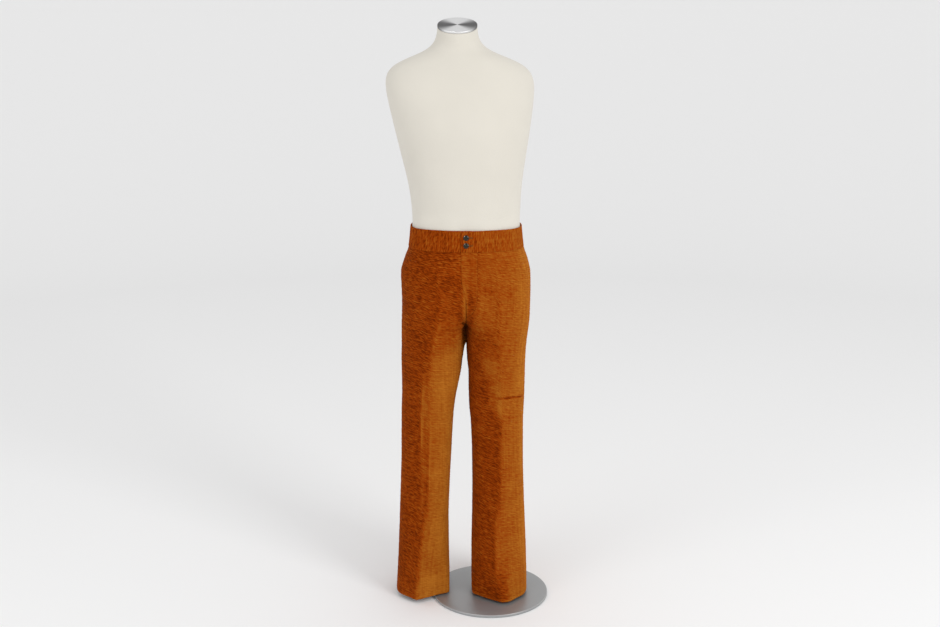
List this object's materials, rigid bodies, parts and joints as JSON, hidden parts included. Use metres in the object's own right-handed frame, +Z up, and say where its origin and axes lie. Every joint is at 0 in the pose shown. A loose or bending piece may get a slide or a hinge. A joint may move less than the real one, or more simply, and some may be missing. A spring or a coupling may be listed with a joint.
{
  "type": "corduroy flares on a limbless dress form stand",
  "caption": "Flared corduroy trousers with pressed creases and a buttoned waistband, worn by a limbless dress form on a post and round steel base plate.",
  "frame": {"origin": "centre of the base plate's underside, on the floor", "axes": "+Z up; the front of the garment faces -Y; +X is the wearer's left"},
  "size_m": [0.4348, 0.32, 1.5717],
  "materials": {
    "corduroy": "rust cut-pile corduroy with a nap",
    "button": "aged nickel shank button",
    "form": "off-white jersey over papier mache",
    "steel": "brushed"
  },
  "bodies": {
    "root": {"front_left": "corduroy", "front_right": "corduroy", "back_left": "corduroy", "back_right": "corduroy", "waistband_left": "corduroy", "waistband_right": "corduroy", "fly": "corduroy", "button_upper": "button", "button_lower": "button", "torso_form": "form", "neck_cap": "steel", "post": "steel", "form_socket": "steel", "base_socket": "steel", "base_plate": "steel"}
  },
  "joints": []
}
